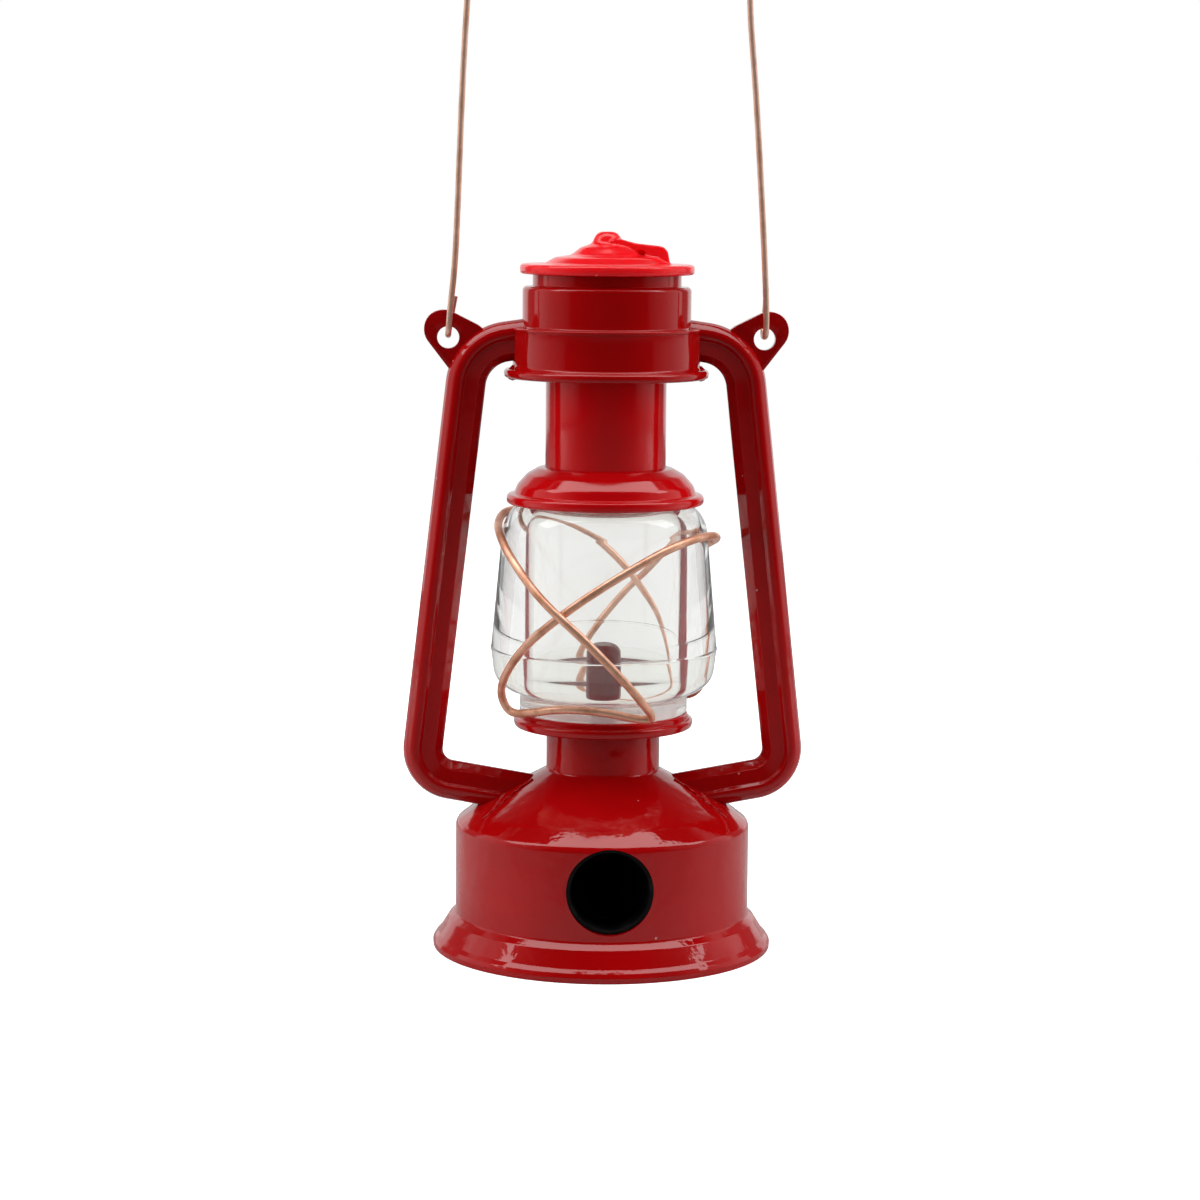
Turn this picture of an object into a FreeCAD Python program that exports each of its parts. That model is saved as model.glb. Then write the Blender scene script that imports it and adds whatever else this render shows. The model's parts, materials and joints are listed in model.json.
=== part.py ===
"""Miniature hurricane lantern with a pencil sharpener in its base, in millimetres.

The origin is the centre of the foot's underside. +Z is up, the pencil hole faces -Y, and the side tubes
stand in the XZ plane.
"""
import FreeCAD, Part
import math
import os
from FreeCAD import Vector

# Base casting: foot, wall, shoulder and neck
foot_radius = 18.1
foot_rim_height = 1.05
foot_bore_radius = 16.7
body_radius = 15.7
body_bottom = 3.55
body_top = 13.5
shoulder_bend = (13.6, 15.1)
neck_radius = 6.05
neck_bottom = 19.2
neck_top = 23.8
casting_wall = 1.3
body_bore_radius = body_radius - casting_wall
neck_bore_radius = 4.6
neck_roof = 1.2
pencil_height = 9.0
casing_hole_radius = 4.52

# Gallery plate, burner post and the screw that clamps them
gallery_radius = 9.6
gallery_step_radius = 9.0
gallery_step = 24.75
gallery_top = 25.4
post_radius = 1.85
post_top = 32.0
post_seat = 24.6
screw_hole_radius = 1.1
post_screw_radius = 0.95
post_screw_top = 30.0
post_screw_head_radius = 1.8
post_screw_head_height = 1.2
slot_half_width = 0.22
cross_slot_half_length = 1.1
cross_slot_depth = 0.6

# Globe
skirt_radius = 8.92
skirt_top = 27.6
globe_radius = 12.04
globe_widest = 32.2
globe_top = 48.2
globe_shoulder_radius = 10.55
globe_cavity_radius = 8.15
globe_mouth_radius = 5.45
globe_ceiling = 46.2
globe_floor = 26.7
cavity_rounding = 1.8

# Hood and chimney tube
hood_lip_radius = 10.43
hood_lip_bottom = 47.6
hood_lip_top = 48.65
hood_top = 51.55
hood_ceiling = 48.25
tube_radius = 6.36
tube_wall = 1.0
tube_bottom = 49.3
tube_top = 69.3
press_gap = 0.02

# Collar
flange_radius = 10.8
flange_bottom = 60.9
flange_top = 61.8
band_radius = 9.88
band_top = 66.15
drum_radius = 8.88
drum_top = 70.5
cap_seat_radius = 7.82
cap_seat = 71.75
collar_bore_radius = 7.0
collar_floor = 62.2

# Cap
brim_radius = 9.17
brim_thickness = 1.05
lamp_top = 76.2
knob_radius = 1.55
plug_length = 2.1
plug_wall = 0.9
plug_roof = 0.8
ring_length = 5.5
ring_half_width = 1.9
ring_thickness = 1.3
ring_slope = 7.0
ring_drop = 2.3
ring_edge_rounding = 0.3

# Side tubes: centre line in the XZ plane, then the section across it
tube_top_end = (8.6, 64.94)
tube_top_corner = (14.36, 64.10)
tube_top_bend = 4.95
tube_foot_corner = (19.55, 18.50)
tube_foot_bend = 3.4
tube_foot_end = (9.0, 16.62)
tube_half_width = 2.1
rib_half_depth = 1.9
web_half_depth = 1.5
spigot_radius = 1.2
upper_spigot_length = 3.0
lower_spigot_length = 3.5

# Ears
ear_centre = (17.15, 65.85)
ear_radius = 2.15
ear_thickness = 1.3
ear_edge_taper = 0.25
ear_hole_x = 16.65
ear_hole_z = 65.07
ear_hole_radius = 1.15
ear_upper_root = (13.2, 66.3)
ear_lower_root = (16.75, 61.3)
ear_inner_root = (13.9, 62.9)

# Bail
bail_wire_radius = 0.32
hook_half_width = 1.75
hook_bottom = 65.3
tail_top = 69.3
tail_top_x = 15.8
arch_corner_x = 14.16
arch_top = 115.2
arch_bend = 14.6

# Globe guard
guard_wire_radius = 0.44
guard_front = [
    (-11.4, 0.2, 45.4), (-11.2, -3.2, 44.5), (-10.4, -6.0, 42.9), (-8.6, -8.9, 40.4), (-6.8, -11.0, 38.4),
    (-5.0, -12.3, 36.8), (-3.1, -12.7, 35.1), (-0.7, -12.7, 32.7), (1.4, -12.6, 30.5), (3.2, -11.6, 28.3),
    (4.9, -9.2, 25.95), (3.0, -9.5, 26.0), (0.2, -9.8, 26.7), (-2.7, -9.5, 27.0), (-5.3, -8.4, 26.9),
    (-7.8, -6.4, 26.2), (-10.0, -3.7, 25.6), (-11.0, -3.8, 27.3), (-11.0, -5.5, 29.3), (-10.0, -7.8, 31.7),
    (-8.4, -9.5, 34.0), (-6.1, -10.8, 36.2), (-3.4, -11.7, 38.4), (-0.1, -11.95, 40.6), (3.0, -11.4, 42.4),
    (6.3, -9.8, 44.0), (9.5, -6.9, 44.8), (11.4, -3.4, 44.6), (12.0, 0.0, 43.9),
]
guard_back = [
    (11.5, 3.4, 43.1), (10.2, 6.2, 41.8), (8.5, 8.9, 39.8), (6.8, 11.0, 38.0), (5.0, 12.3, 36.5),
    (3.1, 12.7, 34.9), (0.7, 12.7, 32.7), (-1.4, 12.6, 30.5), (-3.2, 11.6, 28.3), (-4.9, 9.2, 25.95),
    (-3.0, 9.5, 26.0), (-0.2, 9.8, 26.7), (2.7, 9.5, 27.0), (5.3, 8.4, 26.7), (8.3, 6.5, 25.9),
    (10.3, 4.6, 26.4), (11.2, 4.5, 28.4), (10.6, 7.2, 31.0), (8.7, 9.5, 33.8), (6.1, 10.8, 36.2),
    (3.4, 11.7, 38.8), (0.1, 11.9, 41.4), (-3.0, 11.3, 43.6), (-6.2, 9.5, 45.4), (-9.0, 6.8, 46.3),
    (-10.7, 3.6, 46.3),
]
free_bend_share = 0.45

# Sharpener: block, blade, screw and the plate that carries them
spigot_front = 15.1
block_front = 12.0
block_back = 4.5
block_left = 7.5
block_right = 5.5
block_top = 12.5
rail_left = 6.7
rail_right = 4.5
bore_radius = 4.1
mouth_length = 3.0
cone_half_angle = 12.0
cone_tip_radius = 1.0
blade_cut = 0.5
blade_left = 6.5
blade_edge = 0.5
blade_thickness = 0.5
blade_grind = 1.1
blade_front = 11.3
blade_back = 2.2
blade_screw_x = 4.5
blade_screw_y = 5.0
blade_screw_radius = 0.95
blade_screw_depth = 3.0
blade_screw_head_radius = 1.7
blade_screw_head_height = 0.8
blade_screw_head_rounding = 0.3
blade_screw_slot_depth = 0.4
blade_screw_slot_turn = 35.0
plate_bottom = 2.4
plate_floor = 3.6
plate_ring_top = 5.6
plate_ring_wall = 1.2
window_left = 6.7
window_right = 4.5
window_front = 11.0
window_back = 10.0
window_margin = 0.4
plate_dish = 0.45

# A length within this counts as touching, and a cutting tool runs this far past the face it enters
TOUCHING = 0.01
SPARE = 1.0
SAME_POINT = 1e-6

ORIGIN = Vector(0, 0, 0)
ALONG_X = Vector(1, 0, 0)
ALONG_Y = Vector(0, 1, 0)
ALONG_Z = Vector(0, 0, 1)


def save(name, shape):
    """Write one piece, after a check that it is sound."""
    if not shape.isValid():
        raise ValueError(name + " is not a sound shape")
    shape.exportStep("parts/" + name + ".step")
    print(name, "solids", len(shape.Solids), "volume", round(shape.Volume, 2))


def upright(across, height):
    """Point in the XZ plane."""
    return Vector(across, 0, height)


def rounded_edges(corners, closed):
    """Straight edges through 3-D corners, with an arc of the given radius at each corner that has one.

    A corner is (point, radius). The ends of an open run have no arc.
    """
    count = len(corners)
    edges = []
    first = None
    last = None
    for index, (point, radius) in enumerate(corners):
        entry = point
        leave = point
        is_end = not closed and index in (0, count - 1)
        if radius > 0 and not is_end:
            back = (corners[index - 1][0] - point).normalize()
            ahead = (corners[(index + 1) % count][0] - point).normalize()
            half_inside = back.getAngle(ahead) / 2
            cut = radius / math.tan(half_inside)
            entry = point + back * cut
            leave = point + ahead * cut
            inward = (back + ahead).normalize()
            middle = point + inward * (radius / math.sin(half_inside) - radius)
        if last is not None and not last.isEqual(entry, SAME_POINT):
            edges.append(Part.makeLine(last, entry))
        if radius > 0 and not is_end:
            edges.append(Part.Arc(entry, middle, leave).toShape())
        if first is None:
            first = entry
        last = leave
    if closed and not last.isEqual(first, SAME_POINT):
        edges.append(Part.makeLine(last, first))
    return edges


def outline_face(corners, place=upright):
    """Flat face from corners (a, b) or (a, b, rounding)."""
    placed = [(place(*corner[:2]), corner[2] if len(corner) > 2 else 0) for corner in corners]
    return Part.Face(Part.Wire(rounded_edges(placed, closed=True)))


def lathe(corners):
    """Solid turned about Z from (radius, height) or (radius, height, rounding) corners."""
    return outline_face(corners).revolve(ORIGIN, ALONG_Z, 360)


def block(low, high):
    """Box between two opposite corners."""
    size = Vector(*high) - Vector(*low)
    return Part.makeBox(size.x, size.y, size.z, Vector(*low))


def bar(start, end, radius):
    """Round bar between two points."""
    along = end - start
    return Part.makeCylinder(radius, along.Length, start, along)


def swept_round(edges, radius):
    """Round rod swept along an open run of edges."""
    spine = Part.Wire(edges)
    first_edge = edges[0]
    start = first_edge.valueAt(first_edge.FirstParameter)
    direction = first_edge.tangentAt(first_edge.FirstParameter)
    circle = Part.Wire(Part.makeCircle(radius, start, direction))
    return spine.makePipeShell([circle], True, False)


def bent_wire(points, radius, closed):
    """Round wire through points (x, y, z) or (x, y, z, bend); a bend that isn't given is as large as fits."""
    count = len(points)
    corners = []
    for index, point in enumerate(points):
        here = Vector(*point[:3])
        if len(point) > 3:
            bend = point[3]
        elif not closed and index in (0, count - 1):
            bend = 0
        else:
            back = Vector(*points[index - 1][:3]) - here
            ahead = Vector(*points[(index + 1) % count][:3]) - here
            half_turn = (math.pi - back.getAngle(ahead)) / 2
            bend = free_bend_share * min(back.Length, ahead.Length) / math.tan(half_turn)
        corners.append((here, bend))
    edges = rounded_edges(corners, closed)
    if closed:
        half_way = len(edges) // 2
        wire = swept_round(edges[:half_way], radius).fuse(swept_round(edges[half_way:], radius))
    else:
        wire = swept_round(edges, radius)
    length = sum(edge.Length for edge in edges)
    expected = math.pi * radius ** 2 * length
    ratio = round(wire.Volume / expected, 4)
    print("wire length", round(length, 1), "volume over section times length", ratio)
    return wire


def base_outer(inside):
    """Outline of the base casting's outside, closed along the given inside corners."""
    return [
        (foot_radius, 0, 0.2),
        (foot_radius, foot_rim_height, 0.25),
        (foot_radius - 0.35, foot_rim_height + 0.05, 0.08),
        (foot_radius - 1.0, foot_rim_height + 1.0, 2.0),
        (body_radius, body_bottom, 0.3),
        (body_radius, body_top, 0.4),
        shoulder_bend + (6.0,),
        (neck_radius, neck_bottom, 1.0),
        (neck_radius, neck_top),
    ] + inside


def base_shell(spigots):
    """Foot, wall, shoulder and neck as one hollow casting with the pencil hole in front."""
    bore_bend = (shoulder_bend[0] - 1.0, shoulder_bend[1] - 1.25)
    shell = lathe(base_outer([
        (screw_hole_radius, neck_top),
        (screw_hole_radius, neck_top - neck_roof),
        (neck_bore_radius, neck_top - neck_roof, 0.3),
        (neck_bore_radius, neck_bottom - 0.9, 0.8),
        bore_bend + (4.0,),
        (body_bore_radius, body_top - 1.1, 0.5),
        (body_bore_radius, body_bottom - 1.0, 0.8),
        (foot_bore_radius, 0),
    ]))
    hole = bar(
        Vector(0, -foot_radius, pencil_height),
        Vector(0, -block_front, pencil_height),
        casing_hole_radius,
    )
    return shell.cut(hole).cut(spigots)


def gallery_plate():
    """Stepped round plate that the globe stands on."""
    return lathe([
        (screw_hole_radius, neck_top),
        (gallery_radius - 0.1, neck_top, 0.25),
        (gallery_radius, gallery_step, 0.35),
        (gallery_step_radius + 0.05, gallery_step, 0.1),
        (gallery_step_radius, gallery_top, 0.25),
        (post_radius + press_gap, gallery_top),
        (post_radius + press_gap, post_seat),
        (screw_hole_radius, post_seat),
    ])


def burner_post():
    """Domed stub in the middle of the globe, tapped from below."""
    return lathe([
        (post_screw_radius, post_seat),
        (post_radius, post_seat),
        (post_radius, post_top, 1.4),
        (0, post_top),
        (0, post_screw_top),
        (post_screw_radius, post_screw_top),
    ])


def post_screw():
    """Pan-head screw up through the neck's roof into the burner post."""
    seat = neck_top - neck_roof
    screw = lathe([
        (0, post_screw_top),
        (post_screw_radius, post_screw_top, 0.2),
        (post_screw_radius, seat),
        (post_screw_head_radius, seat),
        (post_screw_head_radius, seat - post_screw_head_height, 0.5),
        (0, seat - post_screw_head_height),
    ])
    return screw.cut(cross_slot(seat - post_screw_head_height))


def cross_slot(height):
    """Two crossed slots in a screw head that is seen from below."""
    long = cross_slot_half_length
    wide = slot_half_width
    deep = cross_slot_depth
    one = block((-long, -wide, height - SPARE), (long, wide, height + deep))
    other = block((-wide, -long, height - SPARE), (wide, long, height + deep))
    return one.fuse(other)


def globe():
    """Thick clear barrel with a round-cornered cavity, a mouth under the hood and a hole for the post."""
    return lathe([
        (skirt_radius, gallery_top, 0.2),
        (skirt_radius, skirt_top, 0.3),
        (globe_radius - 0.55, skirt_top + 0.15, 2.8),
        (globe_radius, globe_widest, 0.25),
        (globe_shoulder_radius, globe_top, 4.0),
        (globe_mouth_radius, globe_top, 0.3),
        (globe_mouth_radius, globe_ceiling, 0.3),
        (globe_cavity_radius, globe_ceiling, cavity_rounding),
        (globe_cavity_radius, globe_floor, cavity_rounding),
        (post_radius + 0.1, globe_floor),
        (post_radius + 0.1, gallery_top),
    ])


def globe_hood():
    """Bell over the globe, with a lip outside and a socket for the chimney tube."""
    socket = tube_radius + press_gap
    inner = tube_radius - tube_wall
    return lathe([
        (socket, hood_top),
        (socket + 1.0, hood_top - 0.25, 0.9),
        (hood_lip_radius - 1.0, hood_top - 1.85, 1.2),
        (hood_lip_radius - 0.72, hood_lip_top + 0.05, 0.1),
        (hood_lip_radius, hood_lip_top, 0.35),
        (hood_lip_radius, hood_lip_bottom, 0.3),
        (hood_lip_radius - 0.7, hood_lip_bottom, 0.15),
        (hood_lip_radius - 1.4, hood_ceiling, 0.3),
        (inner, hood_ceiling),
        (inner, tube_bottom),
        (socket, tube_bottom),
    ])


def chimney_tube():
    """Plain tube from the hood up into the collar."""
    return lathe([
        (tube_radius, tube_bottom),
        (tube_radius, tube_top, 0.2),
        (tube_radius - tube_wall, tube_top, 0.2),
        (tube_radius - tube_wall, tube_bottom),
    ])


def collar_outer(inside):
    """Outline of the collar's outside, closed along the given inside corners."""
    ledge = 0.4
    return [
        (flange_radius, flange_bottom, 0.35),
        (flange_radius, flange_top, 0.35),
        (band_radius, flange_top + 0.1, 0.3),
        (band_radius, band_top - ledge),
        (band_radius + 0.12, band_top - ledge, 0.05),
        (band_radius + 0.12, band_top, 0.15),
        (drum_radius, band_top + 0.05, 0.1),
        (drum_radius, drum_top, 0.45),
        (cap_seat_radius, drum_top, 0.1),
        (cap_seat_radius, cap_seat),
    ] + inside


def collar(spigots):
    """Cast collar that the side tubes hold, with the chimney tube's hole in its floor."""
    tube_hole = tube_radius + press_gap
    ring = lathe(collar_outer([
        (collar_bore_radius, cap_seat),
        (collar_bore_radius, collar_floor),
        (tube_hole, collar_floor),
        (tube_hole, flange_bottom),
    ]))
    return ring.cut(spigots)


def lift_ring():
    """Ring moulded as if folded down to the right, fused to the cap."""
    stem = knob_radius * 0.4
    outline = outline_face([
        (stem, -ring_half_width * 0.6, 0.6),
        (stem + ring_length * 0.35, -ring_half_width, 0.8),
        (stem + ring_length, -ring_half_width, 1.2),
        (stem + ring_length, ring_half_width, 1.2),
        (stem + ring_length * 0.35, ring_half_width, 0.8),
        (stem, ring_half_width * 0.6, 0.6),
    ], place=lambda across, deep: Vector(across, deep, 0))
    solid = outline.extrude(ALONG_Z * ring_thickness)
    eye = outline_face([
        (stem + ring_length * 0.42, -ring_half_width * 0.45, 0.5),
        (stem + ring_length * 0.78, -ring_half_width * 0.45, 0.5),
        (stem + ring_length * 0.78, ring_half_width * 0.45, 0.5),
        (stem + ring_length * 0.42, ring_half_width * 0.45, 0.5),
    ], place=lambda across, deep: Vector(across, deep, 0))
    solid = solid.cut(eye.extrude(ALONG_Z * ring_thickness))
    upper_edges = [edge for edge in solid.Edges if edge.CenterOfMass.z > ring_thickness - TOUCHING]
    solid = solid.makeFillet(ring_edge_rounding, upper_edges)
    solid.rotate(ORIGIN, ALONG_Y, ring_slope)
    solid.translate(ALONG_Z * (lamp_top - ring_drop))
    return solid


def chimney_cap():
    """Brim, stepped dome and knob, with a plug below that presses into the collar."""
    plug_radius = collar_bore_radius - press_gap
    brim_top = cap_seat + brim_thickness
    cap = lathe([
        (0, cap_seat - plug_roof),
        (plug_radius - plug_wall, cap_seat - plug_roof),
        (plug_radius - plug_wall, cap_seat - plug_length),
        (plug_radius, cap_seat - plug_length, 0.2),
        (plug_radius, cap_seat),
        (brim_radius, cap_seat, 0.45),
        (brim_radius, brim_top, 0.5),
        (6.9, brim_top + 0.05, 0.5),
        (5.6, brim_top + 0.75, 0.6),
        (3.9, brim_top + 0.95, 0.3),
        (2.9, brim_top + 1.8, 0.5),
        (knob_radius, brim_top + 2.25, 0.3),
        (knob_radius, lamp_top, 1.1),
        (0, lamp_top),
    ])
    return cap.fuse(lift_ring()).removeSplitter()


def tube_section(start, direction):
    """Section across a side tube: a fat rib on the outer half and a thinner web on the inner half."""
    outward = Vector(-direction.z, 0, direction.x)
    half = [
        (tube_half_width, rib_half_depth, 1.1),
        (0.35, rib_half_depth, 0.8),
        (0.1, web_half_depth - 0.1, 0.15),
        (-tube_half_width, web_half_depth, 0.75),
    ]
    other_half = [(across, -deep, rounding) for across, deep, rounding in reversed(half)]
    face = outline_face(half + other_half, place=lambda across, deep: start + outward * across + ALONG_Y * deep)
    return face.OuterWire


def tangent_point(centre, radius, outside, side):
    """Point of a circle in the XZ plane where a line from an outside point touches it."""
    reach = outside - centre
    swing = math.acos(radius / reach.Length) * side
    aim = math.atan2(reach.z, reach.x) + swing
    return centre + Vector(math.cos(aim), 0, math.sin(aim)) * radius


def ear():
    """Flat lug with a round lobe, tapered towards its edges."""
    centre = upright(*ear_centre)
    upper_root = upright(*ear_upper_root)
    lower_root = upright(*ear_lower_root)
    upper_touch = tangent_point(centre, ear_radius, upper_root, -1)
    lower_touch = tangent_point(centre, ear_radius, lower_root, 1)
    outer_way = Vector(1, 0, 0.35).normalize()
    rim = [
        Part.makeLine(upper_root, upper_touch),
        Part.Arc(upper_touch, centre + outer_way * ear_radius, lower_touch).toShape(),
        Part.makeLine(lower_touch, lower_root),
        Part.makeLine(lower_root, upright(*ear_inner_root)),
        Part.makeLine(upright(*ear_inner_root), upper_root),
    ]
    half = ear_thickness / 2
    face = Part.Face(Part.Wire(rim))
    face.translate(ALONG_Y * -half)
    lug = face.extrude(ALONG_Y * ear_thickness)
    rims = [edge for edge in lug.Edges if abs(abs(edge.CenterOfMass.y) - half) < TOUCHING]
    return lug.makeChamfer(ear_edge_taper, rims)


def tube_path():
    """Centre line of the right side tube, from the collar round to the shoulder."""
    return [
        (upright(*tube_top_end), 0),
        (upright(*tube_top_corner), tube_top_bend),
        (upright(*tube_foot_corner), tube_foot_bend),
        (upright(*tube_foot_end), 0),
    ]


def right_spigots():
    """Short round spigots that press into the collar and the shoulder."""
    path = [corner[0] for corner in tube_path()]
    upper_way = (path[1] - path[0]).normalize()
    lower_way = (path[2] - path[3]).normalize()
    upper = bar(path[0], path[0] + upper_way * upper_spigot_length, spigot_radius)
    lower = bar(path[3], path[3] + lower_way * lower_spigot_length, spigot_radius)
    return upper, lower


def right_side_tube():
    """Cast side tube with its ear, trimmed to the collar and the shoulder."""
    path = tube_path()
    spine = Part.Wire(rounded_edges(path, closed=False))
    direction = (path[1][0] - path[0][0]).normalize()
    tube = spine.makePipeShell([tube_section(path[0][0], direction)], True, False)
    hole = bar(
        Vector(ear_hole_x, -rib_half_depth, ear_hole_z),
        Vector(ear_hole_x, rib_half_depth, ear_hole_z),
        ear_hole_radius,
    )
    tube = tube.fuse(ear()).cut(hole)
    collar_solid = lathe(collar_outer([(0, cap_seat), (0, flange_bottom)]))
    base_solid = lathe(base_outer([(0, neck_top), (0, 0)]))
    tube = tube.cut(collar_solid).cut(base_solid)
    for spigot in right_spigots():
        tube = tube.fuse(spigot)
    return tube.removeSplitter()


def mirrored(shape):
    """Copy of a right-hand piece for the left side."""
    return shape.mirror(ORIGIN, ALONG_X)


def bail():
    """Wire bail: an arch with a hook at each end that passes through the ear and turns up behind it."""
    right_half = [
        (arch_corner_x, 0, arch_top, arch_bend),
        (ear_hole_x, -hook_half_width, hook_bottom, hook_half_width - 0.02),
        (ear_hole_x, hook_half_width, hook_bottom, hook_half_width - 0.02),
        (tail_top_x, hook_half_width, tail_top, 0),
    ]
    left_half = [(-point[0],) + point[1:] for point in reversed(right_half)]
    return bent_wire(left_half + right_half, bail_wire_radius, closed=False)


def globe_guard():
    """Closed loop of wire wound round the globe, crossing itself in front and behind."""
    return bent_wire(guard_front + guard_back, guard_wire_radius, closed=True)


def blade_plane_height(y):
    """Height of the slanted face that the blade lies on."""
    depth = spigot_front + y
    slope = math.tan(math.radians(cone_half_angle))
    return pencil_height - bore_radius + (depth - mouth_length) * slope + blade_cut


def channel_below_blade():
    """Space between the block's two rails, up to the slanted face."""
    front_top = Vector(-rail_left, -block_front, blade_plane_height(-block_front))
    back_top = Vector(-rail_left, block_back, blade_plane_height(block_back))
    front_low = Vector(-rail_left, -block_front, 0)
    back_low = Vector(-rail_left, block_back, 0)
    side = Part.Face(Part.makePolygon([front_top, back_top, back_low, front_low, front_top]))
    return side.extrude(ALONG_X * (rail_left + rail_right))


def blade_screw_frame():
    """Point on the slanted face where the blade screw stands, and the way out of the face."""
    point = Vector(-blade_screw_x, -blade_screw_y, blade_plane_height(-blade_screw_y))
    slope = math.radians(cone_half_angle)
    return point, Vector(0, math.sin(slope), -math.cos(slope))


def sharpener_block():
    """Black block with the pencil's mouth and cone, and a slanted face below for the blade."""
    body = block((-block_left, -block_front, plate_floor), (block_right, block_back, block_top))
    inside_ring = body_bore_radius - press_gap - plate_ring_wall - press_gap
    body = body.common(Part.makeCylinder(inside_ring, block_top))
    spigot_radius_in_casing = casing_hole_radius - press_gap
    front = Vector(0, -spigot_front, pencil_height)
    body = body.fuse(bar(front, Vector(0, -block_front + SPARE, pencil_height), spigot_radius_in_casing))
    cone_length = (bore_radius - cone_tip_radius) / math.tan(math.radians(cone_half_angle))
    mouth = bar(front, front + ALONG_Y * mouth_length, bore_radius)
    cone = Part.makeCone(bore_radius, cone_tip_radius, cone_length, front + ALONG_Y * mouth_length, ALONG_Y)
    tip = bar(front, Vector(0, block_back, pencil_height), cone_tip_radius)
    body = body.cut(channel_below_blade()).cut(mouth).cut(cone).cut(tip)
    point, out = blade_screw_frame()
    return body.cut(bar(point, point - out * blade_screw_depth, blade_screw_radius)).removeSplitter()


def sharpener_blade():
    """Steel blade lying on the slanted face, with its cutting edge ground thin from below."""
    point, out = blade_screw_frame()
    front = Vector(0, -blade_front, blade_plane_height(-blade_front))
    back = Vector(0, blade_back, blade_plane_height(blade_back))
    section = outline_face([
        (-blade_left, 0),
        (blade_edge, 0),
        (blade_edge, blade_thickness * 0.15),
        (blade_edge - blade_grind, blade_thickness),
        (-blade_left, blade_thickness),
    ], place=lambda across, deep: front + ALONG_X * across + out * deep)
    blade = section.extrude(back - front)
    return blade.cut(bar(point - out, point + out, screw_hole_radius))


def blade_screw():
    """Slotted pan-head screw through the blade into the block."""
    point, out = blade_screw_frame()
    under_head = point + out * blade_thickness
    head_end = under_head + out * blade_screw_head_height
    shank = bar(point - out * blade_screw_depth, under_head, blade_screw_radius)
    head = bar(under_head, head_end, blade_screw_head_radius)
    outer_rim = [edge for edge in head.Edges if edge.CenterOfMass.isEqual(head_end, TOUCHING)]
    head = head.makeFillet(blade_screw_head_rounding, outer_rim)
    across = blade_screw_head_radius + SPARE
    slot = block((-across, -slot_half_width, -blade_screw_slot_depth), (across, slot_half_width, SPARE))
    slot.rotate(ORIGIN, ALONG_Z, blade_screw_slot_turn)
    slot.rotate(ORIGIN, ALONG_X, cone_half_angle)
    slot.translate(head_end)
    return shank.fuse(head).cut(slot).removeSplitter()


def bottom_plate():
    """Black plate with a rim pressed into the base, and a window for the blade and the shavings."""
    outer = body_bore_radius - press_gap
    plate = lathe([
        (0, plate_bottom),
        (outer, plate_bottom + plate_dish, 0.2),
        (outer, plate_ring_top, 0.2),
        (outer - plate_ring_wall, plate_ring_top, 0.2),
        (outer - plate_ring_wall, plate_floor),
        (0, plate_floor),
    ])
    window = block((-window_left, -window_front, 0), (window_right, window_back, plate_ring_top))
    inside_ring = outer - plate_ring_wall - window_margin
    window = window.common(Part.makeCylinder(inside_ring, plate_ring_top))
    spigot_room = bar(
        Vector(0, -spigot_front, pencil_height),
        Vector(0, 0, pencil_height),
        casing_hole_radius,
    )
    return plate.cut(window).cut(spigot_room)


os.makedirs("parts", exist_ok=True)

right_upper, right_lower = right_spigots()
right_tube = right_side_tube()

save("base_shell", base_shell(right_lower.fuse(mirrored(right_lower))))
save("gallery_plate", gallery_plate())
save("burner_post", burner_post())
save("post_screw", post_screw())
save("globe", globe())
save("globe_hood", globe_hood())
save("chimney_tube", chimney_tube())
save("collar", collar(right_upper.fuse(mirrored(right_upper))))
save("chimney_cap", chimney_cap())
save("right_side_tube", right_tube)
save("left_side_tube", mirrored(right_tube))
save("globe_guard", globe_guard())
save("bail", bail())
save("sharpener_block", sharpener_block())
save("sharpener_blade", sharpener_blade())
save("blade_screw", blade_screw())
save("bottom_plate", bottom_plate())
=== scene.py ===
"""Miniature red hurricane lantern with a pencil sharpener in its base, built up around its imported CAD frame.

Lengths in outlines are in millimetres and are turned into metres where a piece is drawn. The lantern stands
on z = 0, the pencil hole faces -Y, and the two side tubes stand left and right of the globe.
"""
import json
import math
import bpy
from mathutils import Matrix, Quaternion, Vector

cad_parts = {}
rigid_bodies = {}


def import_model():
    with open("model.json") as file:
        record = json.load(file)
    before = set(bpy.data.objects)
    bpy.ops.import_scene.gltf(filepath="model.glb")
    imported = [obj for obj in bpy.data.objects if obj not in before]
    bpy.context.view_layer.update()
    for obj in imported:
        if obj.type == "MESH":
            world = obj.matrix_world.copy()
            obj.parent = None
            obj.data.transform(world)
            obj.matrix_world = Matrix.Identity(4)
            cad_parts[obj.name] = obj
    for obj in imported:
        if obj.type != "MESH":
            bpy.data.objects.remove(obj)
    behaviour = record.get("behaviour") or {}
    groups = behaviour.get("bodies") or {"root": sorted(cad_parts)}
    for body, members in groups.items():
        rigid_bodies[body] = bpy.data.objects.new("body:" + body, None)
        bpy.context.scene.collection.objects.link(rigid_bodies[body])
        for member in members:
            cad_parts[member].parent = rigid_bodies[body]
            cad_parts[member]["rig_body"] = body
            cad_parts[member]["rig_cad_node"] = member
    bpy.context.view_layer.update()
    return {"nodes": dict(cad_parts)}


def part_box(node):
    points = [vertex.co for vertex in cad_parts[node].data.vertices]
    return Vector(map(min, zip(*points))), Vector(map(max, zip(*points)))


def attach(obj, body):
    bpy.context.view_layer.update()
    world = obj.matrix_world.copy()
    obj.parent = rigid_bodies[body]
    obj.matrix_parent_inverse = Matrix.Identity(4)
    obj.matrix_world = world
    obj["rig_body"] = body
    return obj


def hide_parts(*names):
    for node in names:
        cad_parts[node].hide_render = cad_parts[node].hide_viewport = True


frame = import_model()
bpy.ops.object.select_all(action="DESELECT")
scene = bpy.context.scene
mm = 0.001

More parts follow.
